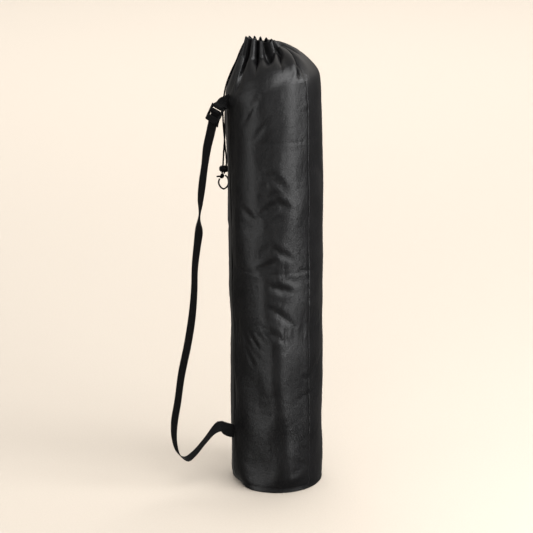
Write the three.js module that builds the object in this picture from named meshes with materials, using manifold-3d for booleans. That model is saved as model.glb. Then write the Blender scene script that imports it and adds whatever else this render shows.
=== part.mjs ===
// A tall drawstring bag for a rolled mat: cloth tube, round base, gathered mouth, strap and drawcord.
// Millimetres, +Z up. The origin is the middle of the base on the floor, -Y the front, -X the strap side.
// Angles are degrees round the bag from +X towards +Y, so the front is at 270.

import * as THREE from "three";
import { mergeVertices } from "three/addons/utils/BufferGeometryUtils.js";
import Module from "manifold-3d";

const wasm = await Module();
wasm.setup();

const RAD = Math.PI / 180;
const UP = new THREE.Vector3(0, 0, 1);
const DOWN = new THREE.Vector3(0, 0, -1);
const GAP = 0.3; // clearance between neighbouring pieces

// Driving sizes of the cloth tube, its seams and its round base.
const TUBE = { radius: 87.5, bottom: 2.4, wall: 1.8, footDraw: 0.9, footReach: 8 };
const FLARE = { width: 1.6, from: 350, to: 700 }; // the tube widens a little under its shoulder
const LEAN = { shift: 7.5, power: 2.2 }; // the tube leans to the strap side, more towards its shoulder
const SEAM = { dip: 1.2, halfWidth: 2.5, gap: 0.5 };
const BASE = { thickness: 2, edgeBend: 1.2, sides: 36 };
const TUCK = { angle: 203, spread: 20, depth: 13, reach: 11 }; // the foot is pushed in at the strap side

// The shoulder draws in from the tube to the foot of the hem, which stands up round the mouth.
const SHOULDER = { height: 780, sideRise: 13, round: 1.33, sideRound: 0.27 };
const SHOULDER_FRONT = { angle: 290, spread: 40, round: 0.75 }; // added roundness at the front
const MOUTH = { x: -31, y: 5, footRadius: 36, topRadius: 28.5, footHeight: 850, topHeight: 870 };
const MOUTH_TILT = { footSide: 6, footFront: -8, topSide: -4, topFront: 3 }; // rises of the two hem rings
const HEM = { wall: 1.3, pleatDepth: 17 };

// Valleys of the gathers, from the strap seam round to the side seam and on round the back.
// tube and mouth are a valley's angles below and above, start is where it begins up the shoulder, 0 to 1,
// and spread is small for a narrow valley between wide crests.
const GATHERS = [
  { tube: 203, mouth: 203, start: 0.05, depth: 1.0, spread: 0.6 },
  { tube: 216, mouth: 228, start: 0.15, depth: 0.9, spread: 0.6 },
  { tube: 246, mouth: 262, start: 0.3, depth: 1.05, spread: 0.6 },
  { tube: 264, mouth: 296, start: 0.6, depth: 1.0, spread: 1.5 },
  { tube: 281, mouth: 332, start: 0.4, depth: 1.0, spread: 0.6 },
  { tube: 314, mouth: 352, start: 0.1, depth: 1.0, spread: 0.6 },
  { tube: 342, mouth: 374, start: 0.5, depth: 0.95, spread: 0.7 },
  { tube: 369, mouth: 394, start: 0.25, depth: 1.0, spread: 0.6 },
  { tube: 397, mouth: 416, start: 0.45, depth: 0.9, spread: 0.8 },
  { tube: 425, mouth: 438, start: 0.3, depth: 1.0, spread: 0.6 },
  { tube: 452, mouth: 461, start: 0.5, depth: 0.95, spread: 0.7 },
  { tube: 480, mouth: 486, start: 0.2, depth: 1.0, spread: 0.6 },
  { tube: 508, mouth: 511, start: 0.45, depth: 0.9, spread: 0.8 },
  { tube: 535, mouth: 537, start: 0.35, depth: 0.95, spread: 0.6 },
  { tube: 563, mouth: 563, start: 0.05, depth: 1.0, spread: 0.6 },
];
const PLEATS = GATHERS.length - 1; // the last row is the strap seam again, one round on
const SIDE_SEAM_GATHER = 5; // the front panel ends at this valley
const SEAM_ANGLES = [GATHERS[0].tube, GATHERS[SIDE_SEAM_GATHER].tube];

// Dents that the slack cloth falls into. tilt is the rise of a dent's line towards larger angles.
const FOLDS = [
  { angle: 274, height: 627, length: 22, width: 10, tilt: -44, depth: 4.5 },
  { angle: 261, height: 566, length: 24, width: 10, tilt: 44, depth: 4.5 },
  { angle: 279, height: 577, length: 15, width: 9, tilt: -27, depth: 3 },
  { angle: 236, height: 554, length: 20, width: 10, tilt: -34, depth: 3 },
  { angle: 274, height: 488, length: 18, width: 10, tilt: -39, depth: 4 },
  { angle: 258, height: 460, length: 24, width: 10, tilt: 31, depth: 4 },
  { angle: 276, height: 415, length: 20, width: 10, tilt: -14, depth: 4 },
  { angle: 277, height: 360, length: 36, width: 13, tilt: -40, depth: 7 },
  { angle: 266, height: 326, length: 22, width: 11, tilt: -32, depth: 4 },
  { angle: 236, height: 285, length: 26, width: 10, tilt: -55, depth: 3 },
  { angle: 273, height: 172, length: 90, width: 14, tilt: -84, depth: 5 },
  { angle: 301, height: 190, length: 20, width: 10, tilt: 28, depth: 3 },
  { angle: 20, height: 450, length: 26, width: 12, tilt: 24, depth: 4 },
  { angle: 60, height: 620, length: 30, width: 12, tilt: -30, depth: 5 },
  { angle: 75, height: 380, length: 38, width: 14, tilt: -35, depth: 6 },
  { angle: 85, height: 150, length: 80, width: 15, tilt: -85, depth: 5 },
  { angle: 95, height: 520, length: 34, width: 12, tilt: 28, depth: 5 },
  { angle: 110, height: 300, length: 28, width: 12, tilt: 32, depth: 4 },
  { angle: 150, height: 400, length: 30, width: 12, tilt: -30, depth: 4 },
];

// Pressed lines round the tube, left from how the empty bag was folded flat.
const CREASE = { heights: [443, 696], depth: 1.6, width: 7 };

// Grid steps of the two cloth panels.
const GRID = { frontPerPleat: 5, backPerPleat: 4, frontTube: 31, backTube: 19, shoulder: 6, hem: 4 };
const NORMAL_STEP = { across: 1 / 6, up: 0.02 };

// Slit in a crest of the hem, round the first stretch of both runs of the drawcord.
const SLIT = { width: 10.2, height: 5, depth: 9 };

// Webbing strap and tab. Their plane stands out from the strap seam.
const WEBBING = { width: 25, thickness: 1.6 };
const STRAP_ANGLE = GATHERS[0].tube;
const SEWN = { lead: 5, stand: 0.6 }; // the last straight stretch before the seam, and its end's distance
const TAB = { rootHeight: 763, rise: 2, layer: 1.1, steps: 6, twistFrom: 0.2 };

// Ladder lock: two rails, a top bar for the tab, a middle bar for the strap and a lift plate.
const LOCK = {
  topBarOut: 117.7,
  topBarHeight: 754,
  lowerOut: 130.6,
  lowerHeight: 728.8,
  turn: -47,
  width: 34,
  rail: 3.6,
  railLength: 24,
  thickness: 4.4,
  bar: 4,
  middleBar: -9,
  plateTop: -19,
  plateLength: 11.5,
  plateWidth: 31,
  plateThickness: 2.4,
  plateCorner: 3.5,
  plateBack: -0.8,
  plateTilt: 12,
};

// The strap in the lock: its tail behind, its turn over the middle bar, and its lead under the plate.
const STRAP_TAIL = [
  { below: 25, front: -9.5 },
  { below: 16, front: -6.6 },
  { below: 7, front: -5.2 },
  { below: 3, front: -4.3 },
];
const STRAP_WRAP = 234; // degrees of turn round the middle bar
const STRAP_LEAD = [
  { below: 4.5, front: 0 },
  { below: 7.5, front: -2.1 },
  { below: 14, front: -2.1 },
];
const BEND_STEPS = 10;

// Strap route below the lock: distance out from the bag's axis, height, and the way its width points,
// as a turn round +Z and a dip below the level.
const STRAP_ROUTE = [
  { out: 133, height: 706, turn: -50, dip: 0 },
  { out: 140, height: 678, turn: -53, dip: 0 },
  { out: 145, height: 644, turn: -60, dip: 0 },
  { out: 150, height: 610, turn: -58, dip: 0 },
  { out: 154, height: 578, turn: -65, dip: 0 },
  { out: 156, height: 548, turn: -83, dip: 0 },
  { out: 157, height: 522, turn: -55, dip: 0 },
  { out: 161, height: 492, turn: -57, dip: 0 },
  { out: 166, height: 450, turn: -61, dip: 0 },
  { out: 168, height: 400, turn: -60, dip: 0 },
  { out: 173, height: 350, turn: -57, dip: 0 },
  { out: 182, height: 298, turn: -57, dip: 0 },
  { out: 195, height: 240, turn: -58, dip: 0 },
  { out: 203, height: 187, turn: -59, dip: 0 },
  { out: 211, height: 141, turn: -59, dip: 0 },
  { out: 211, height: 108, turn: -63, dip: 0 },
  { out: 203, height: 79, turn: -67, dip: 0 },
  { out: 187, height: 65, turn: -69, dip: 0 },
  { out: 172, height: 73, turn: -76, dip: 2 },
  { out: 150, height: 95, turn: -83, dip: 5 },
  { out: 130, height: 115, turn: -84, dip: 16 },
  { out: 117, height: 121, turn: -86, dip: 36 },
  { out: 105, height: 114, turn: -86, dip: 64 },
];
const STRAP_END = { height: 106, rise: -1.6, turn: -86, dip: 86 };
const STRAP_STEPS = 54;

// Drawcord: two runs from the slit over the shoulder, through the lock to the knot, and a loop below.
const CORD = { diameter: 3.2, sides: 8, runSteps: 28, loopSteps: 16 };
const CORD_RUN_1 = [
  { x: -54.2, y: 27.4, z: 857.4 },
  { x: -58, y: 30.5, z: 856.2 },
  { x: -61.4, y: 32.6, z: 850 },
  { x: -66.8, y: 33.6, z: 838 },
  { x: -72, y: 34.2, z: 824 },
  { x: -78.5, y: 34.2, z: 810 },
  { x: -84.8, y: 34.2, z: 795 },
  { x: -91, y: 34, z: 776 },
  { x: -94.8, y: 33.2, z: 752 },
  { x: -96.5, y: 32.4, z: 727 },
  { x: -97.3, y: 31.6, z: 697 },
  { x: -98.3, y: 31, z: 668 },
  { x: -100, y: 31.9, z: 645 },
  { x: -101.3, y: 33, z: 622 },
  { x: -102, y: 33, z: 611 },
  { x: -103.2, y: 33, z: 603 },
];
const CORD_RUN_2 = [
  { x: -56.7, y: 24.6, z: 857.4 },
  { x: -60.5, y: 27.5, z: 856 },
  { x: -64, y: 29.6, z: 849.4 },
  { x: -69.4, y: 30.6, z: 837.4 },
  { x: -74.6, y: 31.2, z: 823.4 },
  { x: -81.1, y: 31.3, z: 809.4 },
  { x: -87.8, y: 31.5, z: 794 },
  { x: -94.4, y: 31.8, z: 775 },
  { x: -99.1, y: 32.4, z: 752 },
  { x: -101.3, y: 33.2, z: 730 },
  { x: -100.9, y: 34.1, z: 706 },
  { x: -99.3, y: 35, z: 680 },
  { x: -97.4, y: 34.9, z: 655 },
  { x: -95.6, y: 33.8, z: 637 },
  { x: -94.9, y: 33, z: 622 },
  { x: -96.8, y: 33, z: 611 },
  { x: -99.5, y: 33, z: 602.1 },
];
const CORD_LOOP = [
  { x: -97.4, y: 33, z: 598.8 },
  { x: -93.4, y: 33, z: 594.2 },
  { x: -91.3, y: 33, z: 586.5 },
  { x: -93.2, y: 33, z: 577.5 },
  { x: -100.4, y: 33, z: 571.8 },
  { x: -107.2, y: 33, z: 576.8 },
  { x: -109.8, y: 33, z: 584.6 },
  { x: -108.2, y: 33, z: 591.7 },
];

// Cord lock and knot.
const CORD_LOCK = {
  x: -99.2,
  y: 33,
  z: 611.3,
  halfLength: 9.6,
  waist: 6.5,
  lobe: 7.1,
  blunt: 0.7,
  rings: 10,
  sides: 14,
  bore: 4.2,
  boreLength: 24,
  boreDrop: 18,
};
const CORD_LOCK_BORES = [
  { topX: -101.2, bottomX: -103 },
  { topX: -94.6, bottomX: -99.2 },
];
const KNOT = { x: -103.4, y: 33, z: 597, width: 8.2, height: 11.6, tilt: 28, detail: 10 };
const KNOT_TAIL = { length: 9, drop: 1.2, diameter: 3.2, sides: 8 };

// Colours of the four materials.
const CLOTH = new THREE.MeshStandardMaterial({ color: 0x1c1c1e, roughness: 0.6, metalness: 0 });
const STRAPPING = new THREE.MeshStandardMaterial({ color: 0x161617, roughness: 0.8, metalness: 0 });
const PLASTIC = new THREE.MeshStandardMaterial({ color: 0x121213, roughness: 0.45, metalness: 0 });
const BRAID = new THREE.MeshStandardMaterial({ color: 0x18181a, roughness: 0.75, metalness: 0 });

const mix = THREE.MathUtils.lerp;
const smooth = THREE.MathUtils.smoothstep;
const vector = ({ x, y, z }) => new THREE.Vector3(x, y, z);
const bell = (offset, width) => Math.exp(-((offset / width) ** 2));
const cosine = (angle) => Math.cos(angle * RAD);
const sine = (angle) => Math.sin(angle * RAD);
const turned = (angle, radius, z) => new THREE.Vector3(radius * cosine(angle), radius * sine(angle), z);

// A closed mesh from points and triangles, with only its positions kept.
function solidFrom(points, triangles) {
  const geometry = new THREE.BufferGeometry().setFromPoints(points);
  geometry.setIndex(triangles);
  return geometry;
}

function quad(triangles, a, b, c, d) {
  triangles.push(a, b, c, a, c, d);
}

// Exchange with the boolean library.
function toManifold(geometry) {
  const bare = geometry.clone();
  bare.deleteAttribute("normal");
  bare.deleteAttribute("uv");
  const merged = mergeVertices(bare, 1e-3);
  const vertProperties = new Float32Array(merged.attributes.position.array);
  const triVerts = new Uint32Array(merged.index.array);
  return new wasm.Manifold(new wasm.Mesh({ numProp: 3, vertProperties, triVerts }));
}

function fromManifold(solid) {
  const mesh = solid.getMesh();
  const geometry = new THREE.BufferGeometry();
  geometry.setAttribute("position", new THREE.BufferAttribute(mesh.vertProperties, 3));
  geometry.setIndex(new THREE.BufferAttribute(mesh.triVerts, 1));
  return geometry;
}

const joined = (geometries) => geometries.map(toManifold).reduce((whole, next) => whole.add(next));
const carved = (solid, tools) => tools.map(toManifold).reduce((left, tool) => left.subtract(tool), solid);

// Angle of the cloth at a place counted in pleats from the strap seam, on the tube or at the mouth.
function clothAngle(pleat, level) {
  const rounds = Math.floor(pleat / PLEATS);
  const turn = pleat - rounds * PLEATS;
  const row = Math.floor(turn);
  return mix(GATHERS[row][level], GATHERS[row + 1][level], turn - row) + rounds * 360;
}

const lean = (height) => -LEAN.shift * Math.max(height / SHOULDER.height, 0) ** LEAN.power;
const shoulderHeight = (angle) => SHOULDER.height + SHOULDER.sideRise * cosine(angle);
const wrapped = (degrees) => ((degrees + 540) % 360) - 180;
const tuck = (angle) => TUCK.depth * bell(wrapped(angle - TUCK.angle), TUCK.spread);

// Depth of one slanted dent at a place on the tube.
function foldDent(fold, angle, height) {
  const side = wrapped(angle - fold.angle) * RAD * TUBE.radius;
  const rise = height - fold.height;
  const along = side * cosine(fold.tilt) + rise * sine(fold.tilt);
  const across = rise * cosine(fold.tilt) - side * sine(fold.tilt);
  return fold.depth * bell(along, fold.length) * bell(across, fold.width);
}

// All that the tube wall falls in by: folds, pressed lines, seams, the drawn-in foot and the tucked corner.
function tubeDent(angle, height) {
  let dent = TUBE.footDraw * Math.exp(-height / TUBE.footReach);
  dent += tuck(angle) * Math.exp(-height / TUCK.reach);
  for (const fold of FOLDS) dent += foldDent(fold, angle, height);
  for (const line of CREASE.heights) dent += CREASE.depth * bell(height - line, CREASE.width);
  for (const seam of SEAM_ANGLES) dent += SEAM.dip * bell(wrapped(angle - seam), SEAM.halfWidth);
  return dent;
}

function tubePoint(angle, height) {
  const radius = TUBE.radius + FLARE.width * smooth(height, FLARE.from, FLARE.to);
  const point = turned(angle, radius - tubeDent(angle, height), height);
  point.x += lean(height);
  return point;
}

// Foot and top rings of the hem, both a little tilted.
function hemPoint(angle, rise) {
  const { footSide, footFront, topSide, topFront } = MOUTH_TILT;
  const footZ = MOUTH.footHeight + footSide * cosine(angle) - footFront * sine(angle);
  const topZ = MOUTH.topHeight + topSide * cosine(angle) - topFront * sine(angle);
  const point = turned(angle, mix(MOUTH.footRadius, MOUTH.topRadius, rise), mix(footZ, topZ, rise));
  return point.add(new THREE.Vector3(MOUTH.x, MOUTH.y, 0));
}

// The bag without its gathers: level 0 to 1 is the tube, 1 to 2 the shoulder and 2 to 3 the hem.
function plainPoint(pleat, level) {
  const angle = clothAngle(pleat, "tube");
  const brim = shoulderHeight(angle);
  if (level <= 1) return tubePoint(angle, mix(TUBE.bottom, brim, level));
  const mouthAngle = clothAngle(pleat, "mouth");
  if (level >= 2) return hemPoint(mouthAngle, level - 2);
  const front = SHOULDER_FRONT.round * bell(wrapped(angle - SHOULDER_FRONT.angle), SHOULDER_FRONT.spread);
  const power = 2 / (SHOULDER.round + SHOULDER.sideRound * cosine(angle) + front);
  const turn = ((level - 1) * Math.PI) / 2;
  const outward = Math.cos(turn) ** power;
  const upward = Math.sin(turn) ** power;
  const low = tubePoint(angle, brim);
  const high = hemPoint(mouthAngle, 0);
  const z = mix(low.z, high.z, upward);
  return high.lerp(low, outward).setZ(z);
}

function surfaceNormal(place, pleat, level) {
  const { across, up } = NORMAL_STEP;
  const side = place(pleat + across, level).sub(place(pleat - across, level));
  const rise = place(pleat, Math.min(level + up, 3)).sub(place(pleat, Math.max(level - up, 0)));
  return side.cross(rise).normalize();
}

// How deep the gathers are at a place: nothing on a crest, most in a valley, growing up the shoulder.
function gatherDent(pleat, level) {
  const turn = pleat - Math.floor(pleat / PLEATS) * PLEATS;
  const phase = turn - Math.floor(turn);
  const valley = GATHERS[Math.floor(turn) + (phase < 0.5 ? 0 : 1)];
  const crest = Math.sin(Math.PI * phase) ** valley.spread;
  return HEM.pleatDepth * valley.depth * (1 - crest) * smooth(level - 1, valley.start, 1);
}

function outerPoint(pleat, level) {
  const point = plainPoint(pleat, level);
  const dent = gatherDent(pleat, level);
  return dent > 0 ? point.addScaledVector(surfaceNormal(plainPoint, pleat, level), -dent) : point;
}

function innerPoint(pleat, level) {
  const wall = mix(TUBE.wall, HEM.wall, smooth(level, 1, 2));
  return outerPoint(pleat, level).addScaledVector(surfaceNormal(outerPoint, pleat, level), -wall);
}

// A closed cloth panel between two gathers.
function panelGeometry(first, last, perPleat, tubeRows) {
  const columns = (last - first) * perPleat;
  const seamGap = SEAM.gap / 2 / (TUBE.radius * RAD * (GATHERS[1].tube - GATHERS[0].tube));
  const levels = [];
  for (let row = 0; row < tubeRows; row++) levels.push(row / tubeRows);
  for (let row = 0; row < GRID.shoulder; row++) levels.push(1 + row / GRID.shoulder);
  for (let row = 0; row <= GRID.hem; row++) levels.push(2 + row / GRID.hem);
  const rows = levels.length - 1;
  const points = [];
  for (const place of [outerPoint, innerPoint]) {
    for (let column = 0; column <= columns; column++) {
      const pleat = mix(first + seamGap, last - seamGap, column / columns);
      for (const level of levels) points.push(place(pleat, level));
    }
  }
  const outer = (column, row) => column * (rows + 1) + row;
  const inner = (column, row) => outer(column, row) + (columns + 1) * (rows + 1);
  const triangles = [];
  for (let c = 0; c < columns; c++) {
    for (let r = 0; r < rows; r++) {
      quad(triangles, outer(c, r), outer(c + 1, r), outer(c + 1, r + 1), outer(c, r + 1));
      quad(triangles, inner(c, r), inner(c, r + 1), inner(c + 1, r + 1), inner(c + 1, r));
    }
    quad(triangles, outer(c + 1, 0), outer(c, 0), inner(c, 0), inner(c + 1, 0));
    quad(triangles, outer(c, rows), outer(c + 1, rows), inner(c + 1, rows), inner(c, rows));
  }
  for (let r = 0; r < rows; r++) {
    quad(triangles, outer(0, r), outer(0, r + 1), inner(0, r + 1), inner(0, r));
    quad(triangles, outer(columns, r + 1), outer(columns, r), inner(columns, r), inner(columns, r + 1));
  }
  return solidFrom(points, triangles);
}

function frontPanel() {
  return panelGeometry(0, SIDE_SEAM_GATHER, GRID.frontPerPleat, GRID.frontTube);
}

// The back panel has the cord slit cut through one crest of the hem.
function backPanel() {
  const panel = panelGeometry(SIDE_SEAM_GATHER, PLEATS, GRID.backPerPleat, GRID.backTube);
  const between = (row) => vector(CORD_RUN_1[row]).lerp(vector(CORD_RUN_2[row]), 0.5);
  const out = between(1).sub(between(0)).normalize();
  const cutter = new THREE.BoxGeometry(SLIT.depth, SLIT.width, SLIT.height);
  const sideways = new THREE.Vector3().crossVectors(UP, out).normalize();
  const upward = new THREE.Vector3().crossVectors(out, sideways);
  const place = new THREE.Matrix4().makeBasis(out, sideways, upward);
  place.setPosition(between(0).lerp(between(1), 0.5));
  return fromManifold(carved(toManifold(panel), [cutter.applyMatrix4(place)]));
}

// Round base whose edge the panels are sewn to.
function basePanel() {
  const edge = TUBE.radius - TUBE.footDraw / 2;
  const profile = [
    { r: edge - BASE.edgeBend, z: 0 },
    { r: edge, z: BASE.edgeBend },
    { r: edge, z: BASE.thickness },
  ];
  const points = [new THREE.Vector3(0, 0, 0), new THREE.Vector3(0, 0, BASE.thickness)];
  for (let side = 0; side < BASE.sides; side++) {
    const angle = (side * 360) / BASE.sides;
    const pushed = tuck(angle) * Math.exp(-TUBE.bottom / TUCK.reach);
    for (const { r, z } of profile) points.push(turned(angle, r - pushed, z));
  }
  const at = (side, row) => 2 + (side % BASE.sides) * profile.length + row;
  const top = profile.length - 1;
  const triangles = [];
  for (let side = 0; side < BASE.sides; side++) {
    triangles.push(0, at(side + 1, 0), at(side, 0), 1, at(side, top), at(side + 1, top));
    for (let row = 0; row < top; row++) {
      quad(triangles, at(side, row), at(side + 1, row), at(side + 1, row + 1), at(side, row + 1));
    }
  }
  return solidFrom(points, triangles);
}

const axisDistance = (point) => Math.hypot(point.x, point.y);

// A flat band through stations that each give a middle point and the way the width points. A station may also
// give the way the band runs there.
function bandGeometry(stations, width, thickness) {
  const corners = [[1, 1], [-1, 1], [-1, -1], [1, -1]];
  const points = [];
  stations.forEach((station, i) => {
    const before = stations[Math.max(i - 1, 0)].point;
    const after = stations[Math.min(i + 1, stations.length - 1)].point;
    const along = station.along ?? after.clone().sub(before).normalize();
    const across = station.across.clone().addScaledVector(along, -station.across.dot(along)).normalize();
    const face = new THREE.Vector3().crossVectors(along, across);
    for (const [a, f] of corners) {
      const corner = station.point.clone().addScaledVector(across, (a * width) / 2);
      points.push(corner.addScaledVector(face, (f * thickness) / 2));
    }
  });
  const sides = corners.length;
  const end = (stations.length - 1) * sides;
  const triangles = [];
  for (let i = 0; i + 1 < stations.length; i++) {
    const inwards = axisDistance(stations[i + 1].point) < axisDistance(stations[i].point);
    for (let k = 0; k < sides; k++) {
      const next = (k + 1) % sides;
      const patch = [i * sides + k, i * sides + next, (i + 1) * sides + next, (i + 1) * sides + k];
      // Both faces of a twisted band are cut along the same diagonal, whichever way the band runs.
      if (k % 2 === 0 && (k === 2) !== inwards) patch.push(patch.shift());
      quad(triangles, ...patch);
    }
  }
  quad(triangles, 3, 2, 1, 0);
  quad(triangles, end, end + 1, end + 2, end + 3);
  return solidFrom(points, triangles);
}

const strapPoint = (out, height) => turned(STRAP_ANGLE, out, height);

// Last two points of webbing that rises or falls into the strap seam.
function sewnEnd(height, rise) {
  const seam = tubePoint(STRAP_ANGLE, height);
  const root = seam.clone().add(turned(STRAP_ANGLE, SEWN.stand, 0));
  return [root.clone().add(turned(STRAP_ANGLE, SEWN.lead, -rise)), root];
}

const INWARDS = turned(STRAP_ANGLE, -1, 0);

function widthVector(turn, dip) {
  return turned(turn, cosine(dip), -sine(dip));
}

// Frame of the ladder lock: x along its bars, y up to the tab, z out of its front, origin in the top bar.
function lockFrame() {
  const top = strapPoint(LOCK.topBarOut, LOCK.topBarHeight);
  const up = top.clone().sub(strapPoint(LOCK.lowerOut, LOCK.lowerHeight)).normalize();
  const across = widthVector(LOCK.turn, 0);
  across.addScaledVector(up, -across.dot(up)).normalize();
  const front = new THREE.Vector3().crossVectors(across, up);
  return new THREE.Matrix4().makeBasis(across, up, front).setPosition(top);
}

const LOCK_FRAME = lockFrame();
const inLock = (y, z) => new THREE.Vector3(0, y, z).applyMatrix4(LOCK_FRAME);
const LOCK_ACROSS = new THREE.Vector3().setFromMatrixColumn(LOCK_FRAME, 0);
const WRAP = LOCK.bar / 2 + GAP + WEBBING.thickness / 2; // middle of the webbing round a bar

function ladderLock() {
  const railX = (LOCK.width - LOCK.rail) / 2;
  const pieces = [-railX, railX].map((x) => {
    const rail = new THREE.BoxGeometry(LOCK.rail, LOCK.railLength, LOCK.thickness);
    return rail.translate(x, LOCK.thickness / 2 - LOCK.railLength / 2, 0);
  });
  for (const y of [0, LOCK.middleBar]) {
    const bar = new THREE.CylinderGeometry(LOCK.bar / 2, LOCK.bar / 2, LOCK.width - LOCK.rail, 12);
    pieces.push(bar.rotateZ(Math.PI / 2).translate(0, y, 0));
  }
  return fromManifold(joined([...pieces, liftPlate()]));
}

// Plate with round lower corners that tilts out in front of the strap.
function liftPlate() {
  const half = LOCK.width / 2;
  const foot = LOCK.plateWidth / 2;
  const low = -LOCK.plateLength;
  const corner = LOCK.plateCorner;
  const outline = new THREE.Shape();
  outline.moveTo(-half, 0);
  outline.lineTo(-foot, low + corner);
  outline.quadraticCurveTo(-foot, low, corner - foot, low);
  outline.lineTo(foot - corner, low);
  outline.quadraticCurveTo(foot, low, foot, low + corner);
  outline.lineTo(half, 0);
  const options = { depth: LOCK.plateThickness, bevelEnabled: false, curveSegments: 4 };
  const plate = new THREE.ExtrudeGeometry(outline, options).rotateX(-LOCK.plateTilt * RAD);
  return plate.translate(0, LOCK.plateTop, LOCK.plateBack);
}

// The tab is one length of webbing, folded round the top bar with both ends in the seam.
function strapTab() {
  const [lead, root] = sewnEnd(TAB.rootHeight, TAB.rise);
  const bar = inLock(0, 0);
  const toRoot = lead.clone().sub(bar).normalize();
  const reach = toRoot.clone().addScaledVector(LOCK_ACROSS, -toRoot.dot(LOCK_ACROSS)).normalize();
  const face = new THREE.Vector3().crossVectors(reach, LOCK_ACROSS);
  const layer = (side) => {
    const stations = [];
    for (let i = 1; i <= TAB.steps + 1; i++) {
      const share = Math.min(i / TAB.steps, 1);
      const middle = i > TAB.steps ? root.clone() : bar.clone().lerp(lead, share);
      const twist = smooth(share, TAB.twistFrom, 1);
      const across = LOCK_ACROSS.clone().lerp(DOWN, twist).normalize();
      const along = i > TAB.steps ? INWARDS.clone() : toRoot.clone();
      const out = new THREE.Vector3().crossVectors(along, across).normalize();
      const offset = mix(WRAP, TAB.layer, smooth(share, 0, 0.8)) * side;
      stations.push({ point: middle.addScaledVector(out, offset), across, along: along.multiplyScalar(-side) });
    }
    return stations;
  };
  const bend = [];
  for (let i = 0; i <= BEND_STEPS; i++) {
    const angle = 90 + (180 * i) / BEND_STEPS;
    const point = bar.clone().addScaledVector(reach, WRAP * cosine(angle));
    bend.push({ point: point.addScaledVector(face, WRAP * sine(angle)), across: LOCK_ACROSS.clone() });
  }
  return bandGeometry([...layer(1).reverse(), ...bend, ...layer(-1)], WEBBING.width, WEBBING.thickness);
}

// The strap: a tail behind, over the middle bar, under the lift plate, and down its route to the seam.
function shoulderStrap() {
  const stations = [];
  const add = (y, z) => stations.push({ point: inLock(y, z), across: LOCK_ACROSS.clone() });
  const bar = LOCK.middleBar;
  for (const { below, front } of STRAP_TAIL) add(bar - below, front);
  for (let i = 0; i <= BEND_STEPS; i++) {
    const angle = 180 - (STRAP_WRAP * i) / BEND_STEPS;
    add(bar + WRAP * sine(angle), WRAP * cosine(angle));
  }
  for (const { below, front } of STRAP_LEAD) add(bar - below, front);
  const start = stations.at(-1);
  const [lead, root] = sewnEnd(STRAP_END.height, STRAP_END.rise);
  const endAcross = widthVector(STRAP_END.turn, STRAP_END.dip);
  const points = [start.point, ...STRAP_ROUTE.map(({ out, height }) => strapPoint(out, height)), lead];
  const widths = [start.across, ...STRAP_ROUTE.map(({ turn, dip }) => widthVector(turn, dip)), endAcross];
  const route = new THREE.CatmullRomCurve3(points, false, "centripetal");
  const widthRoute = new THREE.CatmullRomCurve3(widths, false, "centripetal");
  for (let i = 1; i <= STRAP_STEPS; i++) {
    const share = route.getUtoTmapping(i / STRAP_STEPS);
    stations.push({ point: route.getPoint(share), across: widthRoute.getPoint(share) });
  }
  stations.at(-1).along = root.clone().sub(lead).normalize();
  stations.push({ point: root, across: endAcross, along: INWARDS });
  return bandGeometry(stations, WEBBING.width, WEBBING.thickness);
}

// A round cord along hand-placed points.
function cordTube(route, steps) {
  const corners = [];
  for (let side = 0; side < CORD.sides; side++) {
    const angle = (side / CORD.sides) * 2 * Math.PI;
    corners.push(new THREE.Vector2(Math.cos(angle), Math.sin(angle)).multiplyScalar(CORD.diameter / 2));
  }
  const extrudePath = new THREE.CatmullRomCurve3(route.map(vector), false, "centripetal");
  return new THREE.ExtrudeGeometry(new THREE.Shape(corners), { steps, extrudePath, bevelEnabled: false });
}

// Bean-shaped cord lock, turned about its long way, with a slanted bore for each run.
function cordLock() {
  const { rings, waist, lobe, blunt } = CORD_LOCK;
  const profile = [];
  for (let i = 0; i <= rings; i++) {
    const turn = (180 * i) / rings;
    const radius = i % rings === 0 ? 0 : mix(waist, lobe, Math.abs(cosine(turn))) * sine(turn) ** blunt;
    profile.push(new THREE.Vector2(radius, -CORD_LOCK.halfLength * cosine(turn)));
  }
  const bean = new THREE.LatheGeometry(profile, CORD_LOCK.sides).rotateZ(-Math.PI / 2);
  bean.translate(CORD_LOCK.x, CORD_LOCK.y, CORD_LOCK.z);
  const radius = CORD_LOCK.bore / 2;
  const bores = CORD_LOCK_BORES.map(({ topX, bottomX }) => {
    const bore = new THREE.CylinderGeometry(radius, radius, CORD_LOCK.boreLength, 12);
    bore.rotateX(Math.PI / 2).rotateY(Math.atan2(topX - bottomX, CORD_LOCK.boreDrop));
    return bore.translate((topX + bottomX) / 2, CORD_LOCK.y, CORD_LOCK.z);
  });
  return fromManifold(carved(toManifold(bean), bores));
}

// The knot with the short free tail that comes out of it.
function cordKnot() {
  const body = new THREE.SphereGeometry(0.5, KNOT.detail, 8).rotateX(Math.PI / 2);
  body.scale(KNOT.width, KNOT.width, KNOT.height).rotateY(KNOT.tilt * RAD);
  body.translate(KNOT.x, KNOT.y, KNOT.z);
  const radius = KNOT_TAIL.diameter / 2;
  const tail = new THREE.CylinderGeometry(radius, radius, KNOT_TAIL.length, KNOT_TAIL.sides);
  tail.rotateZ(Math.PI / 2).rotateY(-Math.atan2(KNOT_TAIL.drop, KNOT_TAIL.length));
  tail.translate(KNOT.x - KNOT.width / 4 - KNOT_TAIL.length / 2, KNOT.y, KNOT.z - KNOT_TAIL.drop / 2);
  return fromManifold(joined([body, tail]));
}

const bag = new THREE.Group();

function addPiece(name, geometry, material, parent = bag) {
  const mesh = new THREE.Mesh(geometry, material);
  mesh.name = name;
  parent.add(mesh);
}

const lockGroup = new THREE.Group();
LOCK_FRAME.decompose(lockGroup.position, lockGroup.quaternion, lockGroup.scale);
bag.add(lockGroup);

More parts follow.
